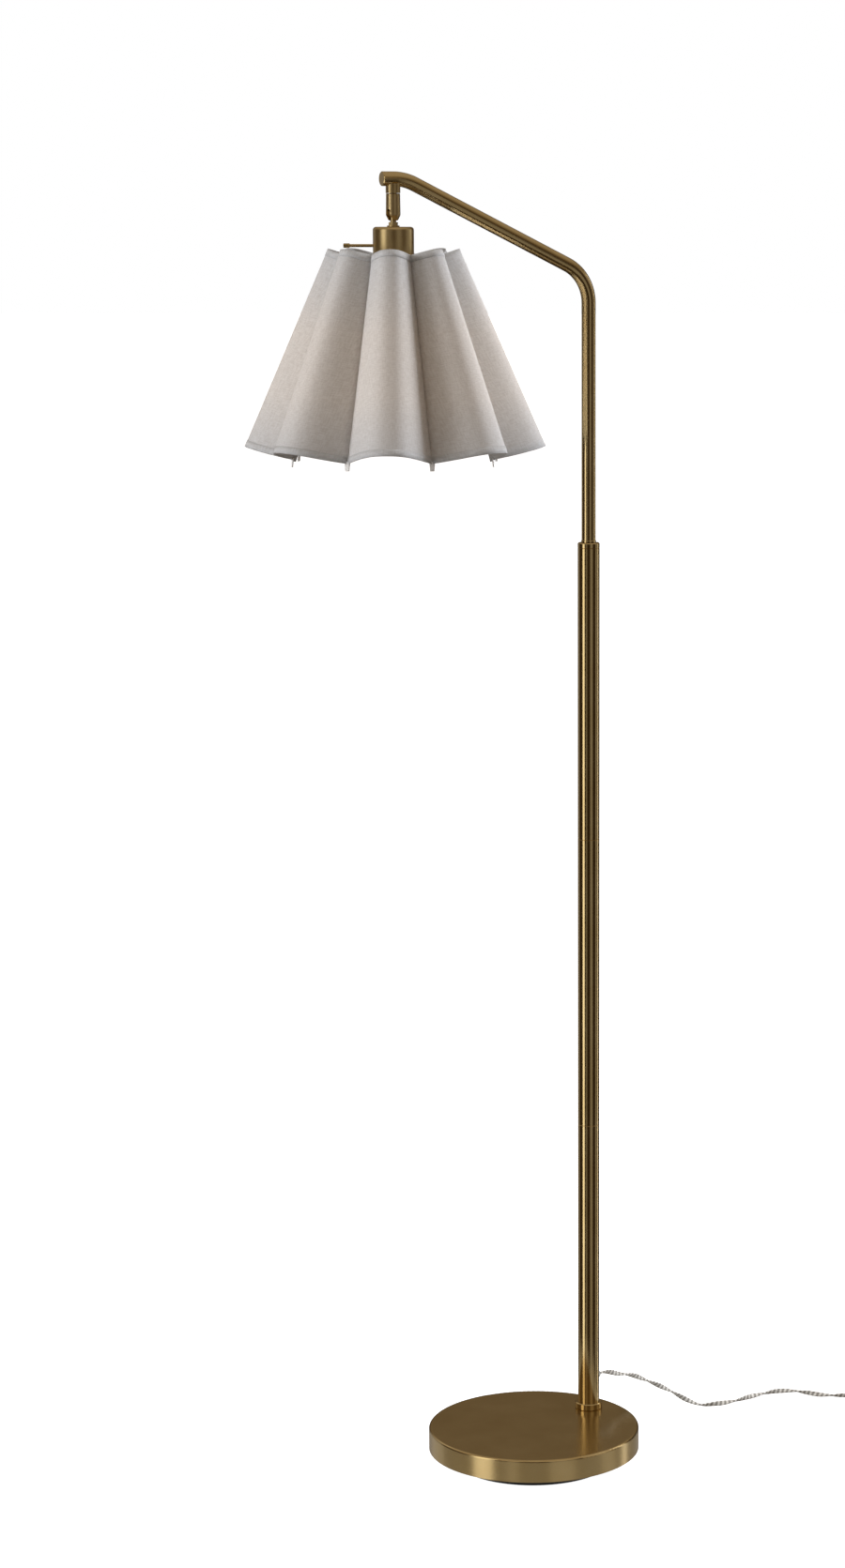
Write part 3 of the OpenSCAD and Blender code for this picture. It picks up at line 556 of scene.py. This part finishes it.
def twin_outline(steps=20):
    """Two round cores side by side with a shallow web between them."""
    outline = []
    web_depth = 0.28
    for i in range(steps):
        angle = 2 * math.pi * i / steps
        waist = 1 - web_depth * abs(math.sin(angle)) ** 6
        outline.append((CORD_WIDTH / 2 * math.cos(angle), CORD_THICK / 2 * waist * math.sin(angle)))
    return outline


def swept(outline, route, twist):
    """A tube bmesh: the outline extruded along the route, turned by twist radians at each place."""
    mesh = bmesh.new()
    cut = mesh.loops.layers.uv.new("cut")
    ring = [mesh.verts.new((x, y, 0)) for x, y in outline]
    edges = [mesh.edges.new((a, b)) for a, b in zip(ring, ring[1:] + ring[:1])]
    side = Vector((0, 0, 1))
    mesh.faces.new(ring)
    along = {}
    travelled = 0.0
    for i, place in enumerate(route):
        ahead = (route[min(i + 1, len(route) - 1)] - route[max(i - 1, 0)]).normalized()
        side = (side - ahead * side.dot(ahead)).normalized()
        across = ahead.cross(side)
        if i:
            travelled += (place - route[i - 1]).length
            made = bmesh.ops.extrude_edge_only(mesh, edges=edges)["geom"]
            edges = [e for e in made if isinstance(e, bmesh.types.BMEdge)]
            new_ring = [v for v in made if isinstance(v, bmesh.types.BMVert)]
            ring = match_ring(ring, new_ring)
        for vert, (x, y) in zip(ring, outline):
            angle = twist[i]
            flat_x = x * math.cos(angle) - y * math.sin(angle)
            flat_y = x * math.sin(angle) + y * math.cos(angle)
            vert.co = place + across * flat_x + side * flat_y
            along[vert] = travelled
    mesh.faces.new(ring[::-1])
    bmesh.ops.recalc_face_normals(mesh, faces=mesh.faces)
    girth = CORD_WIDTH + CORD_THICK
    mesh.verts.index_update()
    count = len(outline)
    for face in mesh.faces:
        places = [loop.vert.index % count for loop in face.loops]
        wraps = max(places) - min(places) > count / 2
        for loop, place in zip(face.loops, places):
            share = place / count + (1 if wraps and place < count / 2 else 0)
            loop[cut].uv = (along[loop.vert], share * girth)
    return mesh


def match_ring(ring, new_ring):
    """The extruded vertices in the order of the ring that they came from."""
    linked = {}
    fresh = set(new_ring)
    for vert in ring:
        for edge in vert.link_edges:
            other = edge.other_vert(vert)
            if other in fresh:
                linked[vert] = other
    return [linked[vert] for vert in ring]


def make_cord():
    """The twin lead, from the bushing to the plug."""
    tail = COIL_CENTRE + Vector((math.cos(RUN_TURN), math.sin(RUN_TURN), 0)) * COIL_OUTER
    tail.z = TAIL_Z
    tail_way = Vector((math.cos(TAIL_TURN), math.sin(TAIL_TURN), 0))
    ends = [tail + tail_way * TAIL_LENGTH * share for share in (0.33, 0.66, 1.1)]
    spacing = 3 * MM
    route = smooth_route([EXIT, *CORD_RUN, *coil_points(), *ends], spacing)
    twist = []
    travelled = 0.0
    for a, b in zip([route[0], *route], route):
        travelled += (b - a).length
        twist.append(travelled / TWIST_EVERY * 2 * math.pi)
    mesh = swept(twin_outline(), route, twist)
    cord = to_object("twin_cord", mesh, TWIN_LEAD, "stand")
    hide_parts("cord", "cord_coil", "cord_tail")
    return cord, [tuple(p) for p in route]


# ---- Plug ----

PLUG_PLACE = Matrix.Translation(
    (
        COIL_CENTRE.x + COIL_OUTER * math.cos(RUN_TURN) + TAIL_LENGTH * math.cos(TAIL_TURN),
        COIL_CENTRE.y + COIL_OUTER * math.sin(RUN_TURN) + TAIL_LENGTH * math.sin(TAIL_TURN),
        TAIL_Z,
    )
) @ Matrix.Rotation(TAIL_TURN, 4, "Z")
PLUG_SIZE = (24 * MM, 25 * MM, 15 * MM)
PLUG_BACK = 10 * MM


def make_plug():
    """A moulded two-blade plug: a rounded block that narrows to the back, and its strain relief."""
    mesh = bmesh.new()
    block = bmesh.ops.create_cube(mesh, size=1)["verts"]
    bmesh.ops.scale(mesh, verts=block, vec=PLUG_SIZE)
    bmesh.ops.translate(mesh, verts=block, vec=(PLUG_BACK + PLUG_SIZE[0] / 2, 0, 0))
    back_width = 0.72
    back_height = 0.82
    for vert in block:
        if vert.co.x < PLUG_BACK + PLUG_SIZE[0] / 2:
            vert.co.y *= back_width
            vert.co.z *= back_height
    bmesh.ops.bevel(
        mesh, geom=mesh.edges[:], offset=2.6 * MM, segments=4, profile=0.5, affect="EDGES", material=-1
    )
    plug = to_object("plug_moulding", mesh, CLEAR_PVC, "stand")
    plug.data.transform(PLUG_PLACE)
    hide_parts("plug_body")
    relief_mesh = lathe(relief_outline(), Vector((0, 0, 0)), steps=32)
    relief = to_object("plug_strain_relief", relief_mesh, CLEAR_PVC, "stand")
    relief.data.transform(PLUG_PLACE @ Matrix.Rotation(math.pi / 2, 4, "Y"))
    return [plug, relief]


def relief_outline():
    """A sleeve that widens towards the plug in five steps, with a bore for the lead."""
    bore = 3.2 * MM
    start = -12 * MM
    end = 10.5 * MM
    pitch = 4.4 * MM
    widening = 0.45 * MM
    rib = 0.5 * MM
    outline = [(bore, start)]
    for i in range(5):
        low = 3.9 * MM + widening * i
        z = start + pitch * i
        outline += [(low, z), (low + rib, z + 2.6 * MM), (low, z + 3.0 * MM)]
    return outline + [(6.5 * MM, end), (bore, end), (bore, start)]


cord, cord_path = make_cord()
plug_pieces = make_plug()


# ---- Shade ----

LOBES = 8
LOBE_HALF = math.pi / LOBES
SHADE_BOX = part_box("shade_fabric")
SHADE_TOP = SHADE_BOX[1].z
VALLEY_TOP = 55 * MM
VALLEY_BOTTOM = 119.5 * MM
LOBE_POWER = 2.5
SEAM_DEPTH = 4 * MM
SEAM_GAP = 0.35 * MM
TAIL_DROP = 1.5 * MM
TAPE_SIZE = (1.4 * MM, 6.5 * MM, 10 * MM)
TAPE_DROP = 3 * MM
CLOTH_T = 0.6 * MM
SHADE_TURN = math.radians(19)
TOP_EDGE = (SHADE_TOP, CREST_TOP, VALLEY_TOP, 6.4 * MM)
BOTTOM_EDGE = (SHADE_TOP - SHADE_H, CREST_BOTTOM, VALLEY_BOTTOM, 12 * MM)
ARC_STEPS = 28
FIN_STEPS = 2
DOWN_STEPS = 40


def edge_point(edge, x, y):
    """The point of a shade edge over (x, y) from the head's axis; the valleys hang lower."""
    crest_z, crest, valley, dip = edge
    z = crest_z - dip * (crest**2 - x**2 - y**2) / (crest**2 - valley**2)
    return Vector((HEAD_AXIS.x + x, HEAD_AXIS.y + y, z))


def lobe_place(edge, column, lift):
    """Where a panel's column stands in plan, in the lobe's own frame: x runs out through the crest."""
    _, crest, valley, _ = edge
    wide = valley * math.sin(LOBE_HALF)
    chord = valley * math.cos(LOBE_HALF)
    rise = crest - chord
    inward = FIN_STEPS - column if column < FIN_STEPS else column - FIN_STEPS - ARC_STEPS
    side = -1 if column < FIN_STEPS + ARC_STEPS / 2 else 1
    t = 2 * min(max((column - FIN_STEPS) / ARC_STEPS, 0), 1) - 1
    fall = rise * LOBE_POWER * abs(t) ** (LOBE_POWER - 1) * math.copysign(1, t)
    lean = math.hypot(wide, fall)
    x = chord + rise * (1 - abs(t) ** LOBE_POWER) + lift * wide / lean
    y = (wide - SEAM_GAP) * t + lift * fall / lean
    if inward > 0:
        depth = SEAM_DEPTH * inward / FIN_STEPS
        x -= depth * math.cos(LOBE_HALF)
        y -= depth * math.sin(LOBE_HALF) * side
    return x, y


def lobe_point(turn, column, down, lift=0.0):
    """A point of one panel: down runs from 0 at the top edge to 1 at the bottom edge."""
    ends = []
    in_fin = column < FIN_STEPS or column > FIN_STEPS + ARC_STEPS
    for edge in (TOP_EDGE, BOTTOM_EDGE):
        x, y = lobe_place(edge, column, lift)
        across = x * math.cos(turn) - y * math.sin(turn)
        along = x * math.sin(turn) + y * math.cos(turn)
        ends.append(edge_point(edge, across, along))
    if in_fin:
        ends[1].z -= TAIL_DROP
    return ends[0].lerp(ends[1], down)


def panels(rows, lift=0.0):
    """Eight scalloped panels as one bmesh, from the list of places down the shade."""
    mesh = bmesh.new()
    cut = mesh.loops.layers.uv.new("cut")
    columns = ARC_STEPS + 2 * FIN_STEPS
    panel_step = 0.2
    for n in range(LOBES):
        turn = SHADE_TURN + 2 * LOBE_HALF * n
        made = bmesh.ops.create_grid(
            mesh, x_segments=columns, y_segments=len(rows) - 1, size=1, calc_uvs=False
        )
        spots = {}
        for vert in made["verts"]:
            column = round((vert.co.x + 1) / 2 * columns)
            row = round((vert.co.y + 1) / 2 * (len(rows) - 1))
            spots[vert] = (column, row)
            vert.co = lobe_point(turn, column, rows[row], lift)
        faces = {face for vert in made["verts"] for face in vert.link_faces}
        for face in faces:
            for loop in face.loops:
                column, row = spots[loop.vert]
                middle = lobe_point(turn, columns // 2, rows[row])
                start = lobe_point(turn, FIN_STEPS, rows[row])
                width = (middle - start).length * 2
                across = (column / columns - 0.5) * width
                loop[cut].uv = (across + n * panel_step, rows[row] * SLANT)
    bmesh.ops.recalc_face_normals(mesh, faces=mesh.faces)
    return mesh


def make_shade():
    """The cloth, the turned-over hems along its two edges, and the ends of its seam tapes."""
    whole = panels([i / DOWN_STEPS for i in range(DOWN_STEPS + 1)])
    cloth = to_object("shade_cloth", whole, LINEN, "head")
    wall = cloth.modifiers.new("wall", "SOLIDIFY")
    wall.thickness = CLOTH_T
    wall.offset = -1
    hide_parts("shade_fabric")
    hem = 8 * MM / SLANT
    hem_rows = {"shade_hem_top": [0, hem / 2, hem], "shade_hem_bottom": [1 - hem, 1 - hem / 2, 1]}
    for name, rows in hem_rows.items():
        band = to_object(name, panels(rows, lift=0.05 * MM), LINEN, "head")
        wall = band.modifiers.new("wall", "SOLIDIFY")
        wall.thickness = 0.35 * MM
        wall.offset = 1
    make_tapes()
    top = edge_length(TOP_EDGE)
    bottom = edge_length(BOTTOM_EDGE)


def make_tapes():
    """Ends of the white seam tapes, hanging a little below each valley."""
    mesh = bmesh.new()
    middle_z = BOTTOM_EDGE[0] - BOTTOM_EDGE[3] - TAPE_DROP
    for n in range(LOBES):
        tape = bmesh.ops.create_cube(mesh, size=1)["verts"]
        bmesh.ops.scale(mesh, verts=tape, vec=TAPE_SIZE)
        for vert in tape:
            if vert.co.z < 0:
                vert.co.y *= 0.75
                vert.co.x += 0.8 * MM
        bmesh.ops.translate(mesh, verts=tape, vec=(VALLEY_BOTTOM - 0.5 * MM, 0, middle_z))
        turn = SHADE_TURN + LOBE_HALF * (2 * n + 1)
        bmesh.ops.rotate(mesh, verts=tape, cent=(0, 0, 0), matrix=Matrix.Rotation(turn, 3, "Z"))
    bmesh.ops.subdivide_edges(mesh, edges=mesh.edges[:], cuts=2, use_grid_fill=True)
    bmesh.ops.bevel(
        mesh, geom=mesh.edges[:], offset=0.1 * MM, segments=1, profile=0.5, affect="EDGES", material=-1
    )
    bmesh.ops.translate(mesh, verts=mesh.verts, vec=(HEAD_AXIS.x, HEAD_AXIS.y, 0))
    return to_object("shade_seam_tapes", mesh, TAPE, "head")


def edge_length(edge):
    """Length of one edge of the cloth all round, with its seams' turnings."""
    points = [Vector(lobe_place(edge, i, 0)) for i in range(ARC_STEPS + 2 * FIN_STEPS + 1)]
    return LOBES * sum((b - a).length for a, b in zip(points, points[1:]))


make_shade()


# ---- Bulb ----


def make_bulb():
    """A round bulb: the bowl's arc runs into a curve that draws in to the neck."""
    low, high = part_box("bulb_glass")
    radius = (high.x - low.x) / 2
    neck = 12 * MM
    bowl_z = low.z + radius
    bowl_steps = 40
    neck_steps = 16
    outline = [
        (radius * math.cos(a), bowl_z + radius * math.sin(a))
        for a in (math.radians(-90 + 120 * i / bowl_steps) for i in range(bowl_steps + 1))
    ]
    shoulder_r, shoulder_z = outline[-1]
    neck_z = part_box("holder_body")[0].z
    for i in range(1, neck_steps + 1):
        t = i / neck_steps
        ease = t * t * (3 - 2 * t)
        outline.append((shoulder_r * (1 - ease) + neck * ease, shoulder_z * (1 - t) + neck_z * t))
    outline += [(neck, high.z), (0, high.z)]
    outline[0] = (0, low.z)
    bulb = to_object("bulb_envelope", lathe(outline, HEAD_AXIS), BULB_GLASS, "head")
    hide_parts("bulb_glass")


make_bulb()


# ---- Stage ----


def stage_sheet(name, size, colour, glow, metallic=0.0, rough=0.9):
    """A level square sheet that glows a little."""
    mesh = bmesh.new()
    bmesh.ops.create_grid(mesh, x_segments=1, y_segments=1, size=size)
    data = bpy.data.meshes.new(name)
    mesh.to_mesh(data)
    mesh.free()
    sheet = bpy.data.objects.new(name, data)
    scene.collection.objects.link(sheet)
    material, output = new_material(name)
    shader = add(
        material,
        "ShaderNodeBsdfPrincipled",
        {
            "Base Color": linear(colour),
            "Metallic": metallic,
            "Roughness": rough,
            "Emission Color": (1, 1, 1, 1),
            "Emission Strength": glow,
        },
    )
    finish_material(material, output, shader.outputs["BSDF"])
    data.materials.append(material)
    return sheet


def make_stage():
    """A white floor for the camera, and a small dim sheet that the base's brass mirrors in its place."""
    floor = stage_sheet("floor", 60, "C8C8C8", 1.0)
    floor.visible_glossy = False
    floor.visible_diffuse = False
    floor.visible_shadow = False
    mirrored = stage_sheet("mirrored_floor", 0.26, "BBBBBB", 0.2, metallic=1.0, rough=0.2)
    mirrored.location.z = -1 * MM
    mirrored.visible_camera = False
    mirrored.visible_shadow = False
    mirrored.visible_transmission = False


def fill(name, azimuth, elevation, irradiance, tint, size=1.2, distance=3.0):
    """A large soft fill that lights the cloth, and that polished metal doesn't mirror."""
    light = bpy.data.lights.new(name, "AREA")
    light.color = linear(tint)[:3]
    light.size = size
    light.energy = irradiance * math.pi * distance**2
    lamp = bpy.data.objects.new(name, light)
    angle = VIEW_TURN + math.radians(azimuth)
    rise = math.radians(elevation)
    shade_middle = Vector((HEAD_AXIS.x, HEAD_AXIS.y, 1.2))
    away = Vector((math.sin(angle) * math.cos(rise), -math.cos(angle) * math.cos(rise), math.sin(rise)))
    lamp.location = shade_middle + away * distance
    lamp.rotation_euler = (-away).to_track_quat("-Z", "Y").to_euler()
    lamp.visible_glossy = False
    scene.collection.objects.link(lamp)


SOFTBOX_HEIGHT = 0.6
SOFTBOX_TALL = 3.6


def softbox(name, azimuth, width, radiance, distance=2.6):
    """An upright softbox facing the pole. Azimuth 0 is towards the camera and grows to its right."""
    light = bpy.data.lights.new(name, "AREA")
    light.shape = "RECTANGLE"
    light.size = width
    light.size_y = SOFTBOX_TALL
    light.energy = radiance * math.pi * width * SOFTBOX_TALL
    lamp = bpy.data.objects.new(name, light)
    angle = VIEW_TURN + math.radians(azimuth)
    target = Vector((POLE_AXIS.x, POLE_AXIS.y, SOFTBOX_HEIGHT))
    lamp.location = target + Vector((math.sin(angle), -math.cos(angle), 0)) * distance
    lamp.rotation_euler = (target - lamp.location).to_track_quat("-Z", "Y").to_euler()
    scene.collection.objects.link(lamp)


def make_world():
    """The room: white to the camera, and for all else dim at eye level and bright overhead."""
    world = bpy.data.worlds.new("studio")
    world.use_nodes = True
    world.node_tree.nodes.clear()
    scene.world = world
    output = world.node_tree.nodes.new("ShaderNodeOutputWorld")
    way = add(world, "ShaderNodeTexCoord")
    height = add(world, "ShaderNodeSeparateXYZ", {"Vector": way.outputs["Generated"]})
    # From 0 straight down to 1 straight up, with the horizon at 0.5
    halves = {0: height.outputs["Z"], 1: 0.5, 2: 0.5}
    share = add(world, "ShaderNodeMath", halves, operation="MULTIPLY_ADD")
    tones = [
        (0.0, "4A3F30"),
        (0.42, "372B1C"),
        (0.5, "43362A"),
        (0.6, "54463A"),
        (0.66, "74664F"),
        (0.85, "B8ADA0"),
    ]
    room = ramp(world, share.outputs["Value"], [(place, linear(tint)) for place, tint in tones])
    lit = add(world, "ShaderNodeBackground", {"Color": room, "Strength": 1.0})
    white = add(world, "ShaderNodeBackground", {"Color": (1, 1, 1, 1), "Strength": 1.0})
    path = add(world, "ShaderNodeLightPath")
    both = add(
        world,
        "ShaderNodeMixShader",
        {0: path.outputs["Is Camera Ray"], 1: lit.outputs["Background"], 2: white.outputs["Background"]},
    )
    world.node_tree.links.new(both.outputs["Shader"], output.inputs["Surface"])


make_stage()
make_world()
softbox("key_left", azimuth=-55, width=1.0, radiance=1.7)
softbox("back_left", azimuth=-128, width=1.5, radiance=0.26)
softbox("front_left", azimuth=-22, width=0.5, radiance=0.25)
softbox("front_right", azimuth=30, width=1.3, radiance=0.26)
softbox("side_right", azimuth=88, width=1.0, radiance=0.28)
softbox("strip_right", azimuth=116, width=0.4, radiance=1.6, distance=2.4)
fill("fill_left", azimuth=-68, elevation=12, irradiance=1.75, tint="F8FAFF")
fill("fill_right", azimuth=101, elevation=12, irradiance=3.6, tint="F6F9FF")
fill("fill_front", azimuth=-30, elevation=25, irradiance=0.15, tint="FFFAF5", size=1.5)
fill("fill_low", azimuth=0, elevation=-80, irradiance=0.5, tint="FFFAF5", size=1.5, distance=1.19)
scene.view_settings.view_transform = "Standard"
